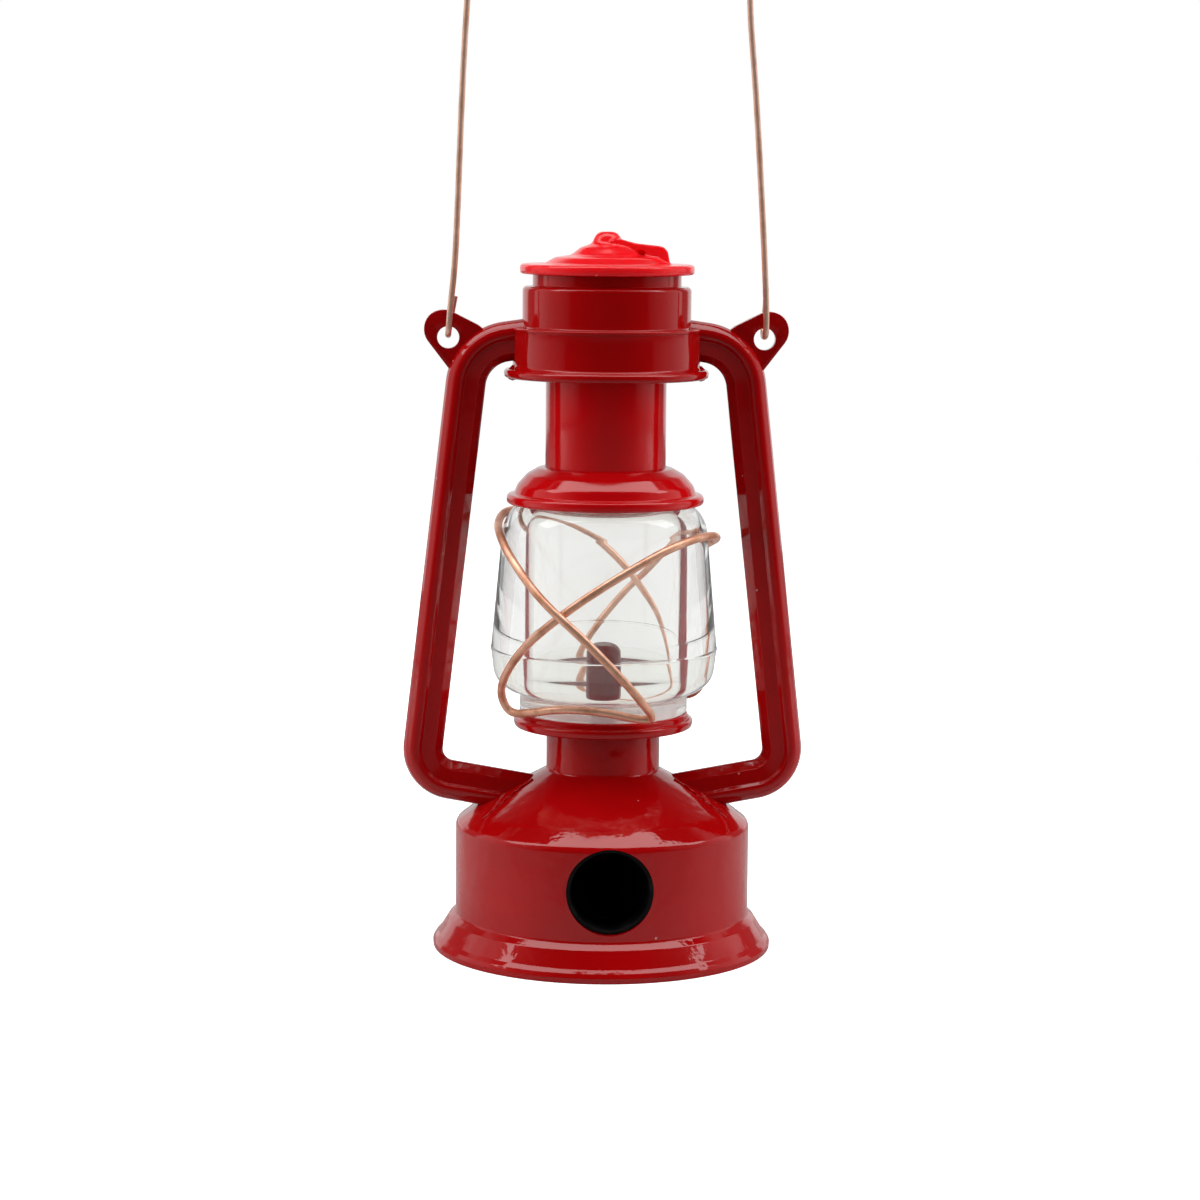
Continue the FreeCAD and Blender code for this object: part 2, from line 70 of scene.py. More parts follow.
# Camera.
# It stands a little to the left of straight in front and looks slightly down at the globe, through a
# long lens, and is tipped by about half a degree.
camera_pitch = math.radians(7.6)
camera_yaw = math.radians(3.2)
camera_roll = math.radians(0.52)
camera_distance = 329.7 * mm
aim_height = 37.27 * mm
aim_left = 0.45 * mm
camera_lens = 93.0

towards_camera = Vector((
    -math.sin(camera_yaw) * math.cos(camera_pitch),
    -math.cos(camera_yaw) * math.cos(camera_pitch),
    math.sin(camera_pitch),
))
aim = Vector((-aim_left, 0, aim_height))
camera_data = bpy.data.cameras.new("camera")
camera_data.lens = camera_lens
camera_data.sensor_width = 36.0
camera_data.clip_start = 0.01
camera_data.clip_end = 20.0
camera = bpy.data.objects.new("camera", camera_data)
scene.collection.objects.link(camera)
camera.location = aim + towards_camera * camera_distance
camera.rotation_mode = "QUATERNION"
camera_tip = Quaternion((0, 0, 1), camera_roll)
camera.rotation_quaternion = towards_camera.to_track_quat("Z", "Y") @ camera_tip
scene.camera = camera
scene.view_settings.view_transform = "Standard"

# Studio.
# White card under the lantern, white walls behind and beside it and a dark room in front. Soft lights above,
# at both sides and in front light the paint, and one wide box overhead shows in its gloss. All in metres.
floor_radius = 0.6
foot_shade_radius = 0.0178
foot_shade_height = 0.00005
middle = Vector((0, 0, 0.03))


def soft_box(name, place, width, height, radiance, lights):
    """Rectangular light facing the lantern, for the paint ("fill") or what shows in its gloss ("shine")."""
    data = bpy.data.lights.new(name, "AREA")
    data.shape = "RECTANGLE"
    data.size = width
    data.size_y = height
    data.energy = radiance * math.pi * width * height
    light = bpy.data.objects.new(name, data)
    scene.collection.objects.link(light)
    light.location = place
    light.rotation_mode = "QUATERNION"
    light.rotation_quaternion = (Vector(place) - middle).to_track_quat("Z", "Y")
    light.visible_camera = False
    light.visible_transmission = False
    light.visible_glossy = lights == "shine"
    light.visible_diffuse = lights == "fill"


for side in (-1, 1):
    soft_box("side_box", (side * 0.45, -0.06, 0.16), 0.30, 0.40, 4.3, "fill")
soft_box("overhead", (0, -0.06, 0.50), 0.40, 0.40, 3.1, "fill")
soft_box("front_fill", (0, -0.50, 0.05), 0.40, 0.30, 0.35, "fill")
soft_box("top_box", (0, -0.03, 0.52), 1.50, 0.24, 3.4, "shine")


def fresh_material(name):
    """New node material: the material, its node tree and its shader."""
    material = bpy.data.materials.new(name)
    material.use_nodes = True
    tree = material.node_tree
    return material, tree, tree.nodes["Principled BSDF"]


def spread(tree, low, high, share_low=0, share_high=1):
    """Node that stretches the values between two shares onto low to high."""
    node = tree.nodes.new("ShaderNodeMapRange")
    node.inputs["From Min"].default_value = share_low
    node.inputs["From Max"].default_value = share_high
    node.inputs["To Min"].default_value = low
    node.inputs["To Max"].default_value = high
    return node


def ramp(tree, low_place, low_colour, high_place, high_colour):
    """Colour ramp node from one colour to another."""
    node = tree.nodes.new("ShaderNodeValToRGB")
    low_stop, high_stop = node.color_ramp.elements
    low_stop.position = low_place
    low_stop.color = (*low_colour, 1)
    high_stop.position = high_place
    high_stop.color = (*high_colour, 1)
    return node


def colour_mix(tree, second=(0.5, 0.5, 0.5), blend="MIX"):
    """Mix node for colours, with its second colour set."""
    node = tree.nodes.new("ShaderNodeMix")
    node.data_type = "RGBA"
    node.blend_type = blend
    node.inputs["B"].default_value = (*second, 1)
    return node


def sum_node(tree, operation, *values):
    """Math node with its inputs after the first set."""
    node = tree.nodes.new("ShaderNodeMath")
    node.operation = operation
    for socket, value in zip(node.inputs[1:], values):
        socket.default_value = value
    return node


bpy.ops.mesh.primitive_circle_add(vertices=96, radius=floor_radius, fill_type="NGON")
floor = bpy.context.object
floor.name = "floor"
card, card_tree, card_shader = fresh_material("white_card")
card_link = card_tree.links.new
card_shader.inputs["Roughness"].default_value = 0.85
card_shader.inputs["Specular IOR Level"].default_value = 0.1
card_shader.inputs["Emission Color"].default_value = (1, 1, 1, 1)
card_place = card_tree.nodes.new("ShaderNodeTexCoord")
card_ways = card_tree.nodes.new("ShaderNodeSeparateXYZ")
# In reflections and in the light it bounces, the card grows darker towards the front: painted shade for its
# less lit front edge. The camera sees it near white, lifted by a glow of its own.
card_front_shade = spread(card_tree, 0.16, 0.60, -0.11, 0.02)
card_path = card_tree.nodes.new("ShaderNodeLightPath")
card_through = card_tree.nodes.new("ShaderNodeMix")
card_through.inputs["B"].default_value = 0.06
card_tone = card_tree.nodes.new("ShaderNodeMix")
card_tone.inputs["B"].default_value = 0.9
card_glow = sum_node(card_tree, "MULTIPLY", 0.86)
card_lift = sum_node(card_tree, "MULTIPLY_ADD", 0.80)
card_link(card_place.outputs["Object"], card_ways.inputs[0])
card_link(card_ways.outputs["Y"], card_front_shade.inputs["Value"])
card_link(card_front_shade.outputs["Result"], card_through.inputs["A"])
card_link(card_path.outputs["Is Transmission Ray"], card_through.inputs["Factor"])
card_link(card_through.outputs["Result"], card_tone.inputs["A"])
card_link(card_path.outputs["Is Camera Ray"], card_tone.inputs["Factor"])
card_link(card_tone.outputs["Result"], card_shader.inputs["Base Color"])
card_link(card_path.outputs["Is Transmission Ray"], card_glow.inputs[0])
card_link(card_path.outputs["Is Camera Ray"], card_lift.inputs[0])
card_link(card_glow.outputs[0], card_lift.inputs[2])
card_link(card_lift.outputs[0], card_shader.inputs["Emission Strength"])
floor.data.materials.append(card)

bpy.ops.mesh.primitive_circle_add(
    vertices=96, radius=foot_shade_radius, fill_type="NGON", location=(0, 0, foot_shade_height),
)
shaded_floor = bpy.context.object
shaded_floor.name = "shaded_floor"
shaded_card = fresh_material("shaded_card")[0]
shaded_card.node_tree.nodes["Principled BSDF"].inputs["Base Color"].default_value = (0.03, 0.03, 0.03, 1)
shaded_floor.data.materials.append(shaded_card)
bpy.ops.object.select_all(action="DESELECT")

# The wall tones run from straight in front of the lantern (0) round to straight behind it (1).
wall_tones = (
    (0.0, 0.01), (0.20, 0.015), (0.235, 0.14), (0.40, 0.30),
    (0.73, 0.90), (0.765, 0.14), (0.87, 0.16), (0.90, 0.95),
)
world = bpy.data.worlds.new("studio")
scene.world = world
world.use_nodes = True
room = world.node_tree
room_light = room.nodes["Background"]
direction = room.nodes.new("ShaderNodeTexCoord")
ways = room.nodes.new("ShaderNodeSeparateXYZ")
to_share = spread(room, 0, 1, -1, 1)
wall = room.nodes.new("ShaderNodeValToRGB")
wall_stops = wall.color_ramp.elements
for place, tone in wall_tones[2:]:
    wall_stops.new(place)
for stop, (place, tone) in zip(wall_stops, wall_tones):
    stop.position = place
    stop.color = (tone, tone, tone, 1)
height = ramp(room, 0.50, (1, 1, 1), 0.78, (0.03, 0.03, 0.03))
walls = colour_mix(room, blend="MULTIPLY")
walls.inputs["Factor"].default_value = 1
seen = room.nodes.new("ShaderNodeLightPath")
dimmed = colour_mix(room, (0.08, 0.08, 0.08))
through = colour_mix(room)
behind_globe = ramp(room, 0.20, (0.42, 0.41, 0.38), 0.85, (0.85, 0.86, 0.83))
straight = colour_mix(room, (1, 1, 1))
room.links.new(direction.outputs["Generated"], ways.inputs[0])
room.links.new(ways.outputs["Y"], to_share.inputs["Value"])
room.links.new(ways.outputs["Z"], height.inputs["Fac"])
room.links.new(to_share.outputs["Result"], wall.inputs["Fac"])
room.links.new(to_share.outputs["Result"], behind_globe.inputs["Fac"])
room.links.new(wall.outputs["Color"], walls.inputs["A"])
room.links.new(height.outputs["Color"], walls.inputs["B"])
room.links.new(walls.outputs["Result"], dimmed.inputs["A"])
room.links.new(seen.outputs["Is Diffuse Ray"], dimmed.inputs["Factor"])
room.links.new(dimmed.outputs["Result"], through.inputs["A"])
room.links.new(behind_globe.outputs["Color"], through.inputs["B"])
room.links.new(seen.outputs["Is Transmission Ray"], through.inputs["Factor"])
room.links.new(through.outputs["Result"], straight.inputs["A"])
room.links.new(seen.outputs["Is Camera Ray"], straight.inputs["Factor"])
room.links.new(straight.outputs["Result"], room_light.inputs["Color"])

# Base casting.
# One hollow zinc casting with foot, wall, shoulder and neck, dipped in thick red enamel that runs soft
# over every edge. The pencil hole is bored through the wall in front.
base_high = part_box("base_shell")[1]
foot_radius = base_high.x / mm
neck_top = base_high.z / mm
foot_bore_radius = 16.7
wall_radius = 15.7
wall_top = 13.5
wall_bore_radius = 14.4
neck_radius = 6.05
neck_bottom = 19.2
neck_bore_radius = 4.6
neck_roof = 1.2
screw_hole_radius = 1.1
pencil_height = 9.0
pencil_hole_radius = 4.52


def rounded_run(name, corners, place, closed):
    """Wire drawn through corners (a, b, rounding) in millimetres, each corner rounded by a bevel."""
    points = [place(a, b) for a, b, rounding in corners]
    count = len(points)
    bpy.ops.mesh.primitive_plane_add(size=mm)
    piece = bpy.context.object
    piece.name = name
    bpy.ops.object.mode_set(mode="EDIT")
    bpy.ops.mesh.select_all(action="SELECT")
    bpy.ops.mesh.merge(type="CENTER")
    bpy.ops.transform.translate(value=points[0])
    for before, after in zip(points, points[1:]):
        bpy.ops.mesh.extrude_region_move(TRANSFORM_OT_translate={"value": after - before})
    if closed:
        bpy.ops.mesh.extrude_region_move(TRANSFORM_OT_translate={"value": points[0] - points[-1]})
        bpy.ops.mesh.select_all(action="SELECT")
        bpy.ops.mesh.remove_doubles(threshold=mm / 1000)
    bpy.ops.object.mode_set(mode="OBJECT")
    reach = []
    for index, (a, b, rounding) in enumerate(corners):
        if not closed and index in (0, count - 1):
            reach.append(0)
            continue
        back = (points[index - 1] - points[index]).normalized()
        ahead = (points[(index + 1) % count] - points[index]).normalized()
        half_turn = (math.pi - back.angle(ahead)) / 2
        reach.append(rounding * mm * math.tan(half_turn))
    longest = max(reach)
    if longest > 0:
        weight = piece.data.attributes.new("bevel_weight_vert", "FLOAT", "POINT")
        for vertex in piece.data.vertices:
            nearest = min(range(count), key=lambda n: (points[n] - vertex.co).length)
            weight.data[vertex.index].value = reach[nearest] / longest
        rounder = piece.modifiers.new("round", "BEVEL")
        rounder.affect = "VERTICES"
        rounder.limit_method = "WEIGHT"
        rounder.offset_type = "ABSOLUTE"
        rounder.width = longest
        rounder.segments = 7
        bpy.ops.object.modifier_apply(modifier="round")
    return piece


def finish_surface(piece, sharp=40, outward=True):
    """Merge doubles, point the faces outwards and shade smooth up to an angle."""
    bpy.ops.object.select_all(action="DESELECT")
    piece.select_set(True)
    bpy.context.view_layer.objects.active = piece
    bpy.ops.object.mode_set(mode="EDIT")
    bpy.ops.mesh.select_all(action="SELECT")
    bpy.ops.mesh.remove_doubles(threshold=mm / 500)
    if outward:
        bpy.ops.mesh.normals_make_consistent(inside=False)
    bpy.ops.object.mode_set(mode="OBJECT")
    bpy.ops.object.shade_smooth_by_angle(angle=math.radians(sharp))
    bpy.ops.object.select_all(action="DESELECT")
    return piece


def turned(name, corners, closed=True, steps=160, sharp=40):
    """Piece turned about the lantern's axis from (radius, height, rounding) corners in millimetres."""
    piece = rounded_run(name, corners, lambda radius, height: Vector((radius, 0, height)) * mm, closed)
    bpy.ops.object.mode_set(mode="EDIT")
    bpy.ops.mesh.select_all(action="SELECT")
    bpy.ops.mesh.spin(steps=steps, angle=math.tau, center=(0, 0, 0), axis=(0, 0, 1))
    bpy.ops.object.mode_set(mode="OBJECT")
    return finish_surface(piece, sharp)


def cut_away(piece, cutter):
    """Cut one piece by another, which is then thrown away."""
    bpy.ops.object.select_all(action="DESELECT")
    bpy.context.view_layer.objects.active = piece
    piece.select_set(True)
    knife = piece.modifiers.new("cut", "BOOLEAN")
    knife.operation = "DIFFERENCE"
    knife.solver = "EXACT"
    knife.object = cutter
    bpy.ops.object.modifier_apply(modifier="cut")
    bpy.data.objects.remove(cutter)


def rod(start, end, radius, steps=64):
    """Round bar between two points in millimetres, as a cutter or a start for a piece."""
    start, end = Vector(start) * mm, Vector(end) * mm
    along = end - start
    bpy.ops.mesh.primitive_cylinder_add(vertices=steps, radius=radius * mm, depth=along.length)
    bar = bpy.context.object
    turn = along.to_track_quat("Z", "Y").to_matrix().to_4x4()
    bar.data.transform(Matrix.Translation((start + end) / 2) @ turn)
    return bar


def grain(tree, place, scale, detail=2):
    """Noise node over a place, such as the object coordinates."""
    node = tree.nodes.new("ShaderNodeTexNoise")
    node.inputs["Scale"].default_value = scale
    node.inputs["Detail"].default_value = detail
    tree.links.new(place, node.inputs["Vector"])
    return node


def raised(tree, height, depth, strength):
    """Bump node that raises the surface by a depth in millimetres."""
    node = tree.nodes.new("ShaderNodeBump")
    node.inputs["Distance"].default_value = depth * mm
    node.inputs["Strength"].default_value = strength
    tree.links.new(height, node.inputs["Height"])
    return node


def enamel(name, colour, thin_colour, roughness=0.06, ripple=0.35, specks=0.5):
    """Thick glossy enamel over zinc: slow colour drift, orange peel, soft runs and a few pale specks."""
    material, tree, shader = fresh_material(name)
    link = tree.links.new
    shader.inputs["IOR"].default_value = 1.5
    place = tree.nodes.new("ShaderNodeTexCoord").outputs["Object"]

    drift = grain(tree, place, 110, 3)
    tone = ramp(tree, 0.35, thin_colour, 0.65, colour)
    link(drift.outputs["Fac"], tone.inputs["Fac"])

    dust = tree.nodes.new("ShaderNodeTexVoronoi")
    dust.inputs["Scale"].default_value = 620
    dust_size = sum_node(tree, "LESS_THAN", 0.085)
    rare = tree.nodes.new("ShaderNodeSeparateColor")
    rare_enough = sum_node(tree, "GREATER_THAN", 0.965)
    fleck = sum_node(tree, "MULTIPLY")
    fleck_share = sum_node(tree, "MULTIPLY", specks)
    mixed = colour_mix(tree, (0.75, 0.42, 0.40))
    link(place, dust.inputs["Vector"])
    link(dust.outputs["Distance"], dust_size.inputs[0])
    link(dust.outputs["Color"], rare.inputs["Color"])
    link(rare.outputs["Red"], rare_enough.inputs[0])
    link(dust_size.outputs[0], fleck.inputs[0])
    link(rare_enough.outputs[0], fleck.inputs[1])
    link(fleck.outputs[0], fleck_share.inputs[0])
    link(fleck_share.outputs[0], mixed.inputs["Factor"])
    link(tone.outputs["Color"], mixed.inputs["A"])
    link(mixed.outputs["Result"], shader.inputs["Base Color"])

    smear = grain(tree, place, 260, 4)
    gloss = spread(tree, roughness * 0.7, roughness * 1.5, 0.3, 0.7)
    link(smear.outputs["Fac"], gloss.inputs["Value"])
    link(gloss.outputs["Result"], shader.inputs["Roughness"])

    peel = grain(tree, place, 900)
    runs = grain(tree, place, 240, 1)
    soft = raised(tree, runs.outputs["Fac"], 0.09, ripple)
    fine = raised(tree, peel.outputs["Fac"], 0.02, ripple)
    link(soft.outputs["Normal"], fine.inputs["Normal"])
    link(fine.outputs["Normal"], shader.inputs["Normal"])
    return material


red = (0.43, 0.002, 0.003)
thin_red = (0.38, 0.0015, 0.002)
red_enamel = enamel("red_enamel", red, thin_red)
base_enamel = enamel("base_enamel", red, thin_red, ripple=1.7, specks=0.7)

base = turned("base", [
    (foot_radius - 0.04, 0, 0.15),
    (foot_radius, 0.62, 0.2),
    (foot_radius - 0.25, 1.02, 0.2),
    (17.45, 1.4, 0.5),
    (16.42, 3.1, 0.35),
    (wall_radius, 3.7, 0.35),
    (wall_radius, wall_top, 0.9),
    (13.6, 15.1, 6.0),
    (neck_radius, neck_bottom, 0.4),
    (neck_radius, neck_top, 0.1),
    (screw_hole_radius, neck_top, 0.1),
    (screw_hole_radius, neck_top - neck_roof, 0.1),
    (neck_bore_radius, neck_top - neck_roof, 0.3),
    (neck_bore_radius, 18.3, 0.8),
    (12.6, 13.85, 4.0),
    (wall_bore_radius, 12.4, 0.5),
    (wall_bore_radius, 2.55, 0.8),
    (foot_bore_radius, 0, 0.3),
], steps=192)
cut_away(base, rod((0, -foot_radius, pencil_height), (0, -12, pencil_height), pencil_hole_radius, 128))
finish_surface(base, sharp=32)
base.data.materials.append(base_enamel)
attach(base, "lantern")
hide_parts("base_shell")

# Gallery plate and burner post.
# A stepped cast plate clamped on the neck carries the globe, and a short domed stub stands in its middle
# in place of a wick. The same screw holds both from below.
plate_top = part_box("gallery_plate")[1].z / mm
post_low, post_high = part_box("burner_post")
post_bottom = post_low.z / mm
post_top = post_high.z / mm
post_radius = 1.85
post_socket_radius = 1.87
gallery = turned("gallery", [
    (screw_hole_radius, neck_top, 0.1),
    (9.45, neck_top, 0.3),
    (9.62, 24.72, 0.4),
    (9.08, 24.80, 0.08),
    (8.98, plate_top, 0.3),
    (post_socket_radius, plate_top, 0.05),
    (post_socket_radius, post_bottom, 0.05),
    (screw_hole_radius, post_bottom, 0.05),
])
gallery.data.materials.append(red_enamel)
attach(gallery, "lantern")
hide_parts("gallery_plate")

dark_enamel = enamel("dark_red_enamel", (0.13, 0.003, 0.006), (0.07, 0.002, 0.004), 0.2, 0.9, 1.0)
post = turned("post", [
    (0.95, post_bottom, 0.05),
    (1.3, post_bottom, 0.1),
    (1.3, 26.95, 0.1),
    (post_radius, 27.3, 0.6),
    (post_radius, post_top - 0.1, 1.35),
    (0.9, post_top, 1.0),
    (0, post_top, 0),
], closed=False, steps=96)
post.data.materials.append(dark_enamel)
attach(post, "lantern")
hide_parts("burner_post")

# Globe.
# A clear acrylic moulding, two and a half to four millimetres thick round a cavity with rounded corners and
# cloudier in its hollow skirt. A fine parting line runs round its widest place. It casts no shadow.
globe_low, globe_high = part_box("globe")
globe_bottom = globe_low.z / mm
globe_top = globe_high.z / mm
skirt_radius = 8.92
skirt_bore_radius = 8.0
skirt_ceiling_drop = 0.7
cavity_radius = 8.15
mouth_radius = 5.45
globe_ceiling = 46.6
globe_floor = 27.0
milky_below = 27.0
clear_above = 28.0
post_hole_radius = 1.4
clear, clear_tree, clear_shader = fresh_material("clear_acrylic")
clear_link = clear_tree.links.new
clear_shader.inputs["Base Color"].default_value = (0.995, 1.0, 0.985, 1)
clear_shader.inputs["IOR"].default_value = 1.49
clear_place = clear_tree.nodes.new("ShaderNodeTexCoord").outputs["Object"]
clear_height = clear_tree.nodes.new("ShaderNodeSeparateXYZ")
clear_haze = spread(clear_tree, 0.72, 0.975, milky_below * mm, clear_above * mm)
clear_wear = grain(clear_tree, clear_place, 150, 5)
clear_gloss = spread(clear_tree, 0.0, 0.05, 0.45, 0.8)
clear_wave = grain(clear_tree, clear_place, 160, 1)
clear_bump = raised(clear_tree, clear_wave.outputs["Fac"], 0.05, 0.25)
clear_link(clear_place, clear_height.inputs[0])
clear_link(clear_height.outputs["Z"], clear_haze.inputs["Value"])
clear_link(clear_haze.outputs["Result"], clear_shader.inputs["Transmission Weight"])
clear_link(clear_wear.outputs["Fac"], clear_gloss.inputs["Value"])
clear_link(clear_gloss.outputs["Result"], clear_shader.inputs["Roughness"])
clear_link(clear_bump.outputs["Normal"], clear_shader.inputs["Normal"])

globe = turned("globe", [
    (skirt_radius, globe_bottom, 0.25),
    (skirt_radius, 27.6, 0.35),
    (11.49, 27.75, 2.8),
    (12.0, 32.05, 0.3),
    (12.08, 32.16, 0.05),
    (12.08, 32.26, 0.05),
    (12.0, 32.37, 0.3),
    (10.55, globe_top, 4.0),
    (mouth_radius, globe_top, 0.4),
    (mouth_radius, globe_ceiling, 0.4),
    (cavity_radius, globe_ceiling, 2.2),
    (cavity_radius, globe_floor, 1.8),
    (5.2, globe_floor, 0.2),
    (5.0, globe_floor - 0.12, 0.2),
    (post_hole_radius, globe_floor - 0.12, 0.1),
    (post_hole_radius, globe_floor - skirt_ceiling_drop, 0.1),
    (skirt_bore_radius, globe_floor - skirt_ceiling_drop, 0.2),
    (skirt_bore_radius, globe_bottom, 0.2),
], steps=224)
globe.data.materials.append(clear)
globe.visible_shadow = False
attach(globe, "lantern")
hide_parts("globe")

# Hood and chimney tube.
# A moulded bell with a rounded lip sits over the globe, and a plain tube stands in its socket. Both are
# glossy red plastic, a little brighter than the enamel.
hood_low, hood_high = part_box("globe_hood")
tube_low, tube_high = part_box("chimney_tube")
hood_bottom = hood_low.z / mm
hood_top = hood_high.z / mm
hood_radius = hood_high.x / mm
hood_ceiling = 48.25
tube_bottom = tube_low.z / mm
tube_top = tube_high.z / mm
tube_radius = tube_high.x / mm
tube_wall = 1.0
socket_radius = tube_radius + 0.02
red_plastic = enamel("red_plastic", (0.62, 0.003, 0.005), (0.57, 0.002, 0.004), 0.10, 0.22, 0.3)
hood = turned("hood", [
    (socket_radius, hood_top, 0.1),
    (tube_radius + 0.8, hood_top - 0.15, 0.5),
    (8.3, 50.75, 1.2),
    (hood_radius - 1.1, 49.6, 1.2),
    (hood_radius - 0.78, 48.72, 0.15),
    (hood_radius, 48.62, 0.4),
    (hood_radius, hood_bottom, 0.35),
    (hood_radius - 0.7, hood_bottom, 0.15),
    (hood_radius - 1.4, hood_ceiling, 0.3),
    (tube_radius - tube_wall, hood_ceiling, 0.1),
    (tube_radius - tube_wall, 49.3, 0.1),
    (socket_radius, 49.3, 0.1),
])
hood.data.materials.append(red_plastic)
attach(hood, "lantern")
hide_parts("globe_hood")

chimney = turned("chimney", [
    (tube_radius, tube_bottom, 0.1),
    (tube_radius, tube_top, 0.2),
    (tube_radius - tube_wall, tube_top, 0.2),
    (tube_radius - tube_wall, tube_bottom, 0.1),
])
chimney.data.materials.append(red_plastic)
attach(chimney, "lantern")
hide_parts("chimney_tube")

# Collar.
# A cast ring with a rolled flange below, a flat band, a narrower drum and a step for the cap. A thin
# raised ledge runs round the top of the band where the mould closed.
collar_low, collar_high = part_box("collar")
collar_bottom = collar_low.z / mm
flange_radius = collar_high.x / mm
flange_top = 61.8
band_radius = 9.88
ledge_radius = 10.0
drum_radius = 8.88
drum_top = 70.5
cap_step_radius = 7.82
cap_seat = collar_high.z / mm
collar_bore_radius = 7.0
collar_floor = 62.2
collar = turned("collar", [
    (flange_radius, collar_bottom, 0.4),
    (flange_radius, flange_top, 0.4),
    (band_radius, 61.9, 0.35),
    (band_radius, 65.8, 0.05),
    (ledge_radius, 65.84, 0.08),
    (ledge_radius, 66.12, 0.12),
    (drum_radius, 66.2, 0.15),
    (drum_radius, drum_top, 0.5),
    (cap_step_radius, drum_top, 0.15),
    (cap_step_radius, cap_seat, 0.1),
    (collar_bore_radius, cap_seat, 0.1),
    (collar_bore_radius, collar_floor, 0.2),
    (6.38, collar_floor, 0.1),
    (6.38, collar_bottom, 0.2),
])
collar.data.materials.append(red_enamel)
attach(collar, "lantern")
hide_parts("collar")

# Cap.
# A brighter red moulding pressed into the collar: a round brim, a dome in soft steps, a knob, and a lift
# ring moulded as if folded down to the right.
cap_low, cap_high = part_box("chimney_cap")
plug_bottom = cap_low.z / mm
plug_radius = 6.98
plug_bore_radius = 6.08
plug_roof = 0.8
brim_radius = cap_high.y / mm
brim_top = cap_seat + 1.05
knob_top = cap_high.z / mm
melt_size = 0.13
cap_plastic = enamel("cap_plastic", (0.95, 0.012, 0.020), (0.90, 0.010, 0.016), 0.14, 0.5, 0.4)
cap_shader = cap_plastic.node_tree.nodes["Principled BSDF"]
cap_shader.inputs["Subsurface Weight"].default_value = 0.6
cap_shader.inputs["Subsurface Radius"].default_value = (2.5 * mm, 0.2 * mm, 0.15 * mm)
cap_shader.inputs["Subsurface Scale"].default_value = 1.0
cap = turned("cap", [
    (0, cap_seat - plug_roof, 0),
    (plug_bore_radius, cap_seat - plug_roof, 0.2),
    (plug_bore_radius, plug_bottom, 0.1),
    (plug_radius, plug_bottom, 0.2),
    (plug_radius, cap_seat, 0.1),
    (brim_radius, cap_seat, 0.3),
    (brim_radius, brim_top, 0.35),
    (6.6, brim_top + 0.05, 0.6),
    (5.5, brim_top + 0.70, 0.9),
    (3.8, brim_top + 0.95, 0.8),
    (2.8, brim_top + 1.75, 0.8),
    (1.65, brim_top + 2.15, 0.6),
    (1.25, 75.9, 0.9),
    (0.7, knob_top, 0.7),
    (0, knob_top, 0),
], closed=False)

ring_side = [
    (0.2, 75.35, 0.1), (1.3, 75.45, 0.5), (3.0, 75.0, 1.0), (5.75, 74.72, 0.6), (6.25, 74.2, 0.5),
    (6.45, 73.1, 0.6), (6.9, 72.4, 0.1), (3.85, 72.4, 0.1), (3.85, 74.2, 0.25), (1.85, 74.45, 0.25),
    (1.85, 72.9, 0.1), (0.2, 72.9, 0.1),
]
web_side = [(0.4, 74.9, 0.1), (5.6, 74.3, 0.4), (5.9, 72.4, 0.1), (0.4, 72.4, 0.1)]
ring_parts = (("lift_ring", ring_side, -1.75, 2.5), ("ring_web", web_side, -0.3, 1.6))
for part_name, outline, front, depth in ring_parts:
    part = rounded_run(part_name, outline, lambda across, up: Vector((across, front, up)) * mm, closed=True)
    bpy.ops.object.mode_set(mode="EDIT")
    bpy.ops.mesh.select_all(action="SELECT")
    bpy.ops.mesh.edge_face_add()
    bpy.ops.mesh.extrude_region_move(TRANSFORM_OT_translate={"value": (0, depth * mm, 0)})
    bpy.ops.mesh.select_all(action="SELECT")
    bpy.ops.mesh.normals_make_consistent(inside=False)
    bpy.ops.object.mode_set(mode="OBJECT")
    bpy.ops.object.select_all(action="DESELECT")
    part.select_set(True)
    cap.select_set(True)
    bpy.context.view_layer.objects.active = cap
    bpy.ops.object.join()
melt = cap.modifiers.new("melt", "REMESH")
melt.mode = "VOXEL"
melt.voxel_size = melt_size * mm
bpy.ops.object.modifier_apply(modifier="melt")
soften = cap.modifiers.new("soften", "SMOOTH")
soften.factor = 0.5
soften.iterations = 7
bpy.ops.object.modifier_apply(modifier="soften")
bpy.ops.object.shade_smooth()
bpy.ops.object.select_all(action="DESELECT")
cap.data.materials.append(cap_plastic)
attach(cap, "lantern")
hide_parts("chimney_cap")

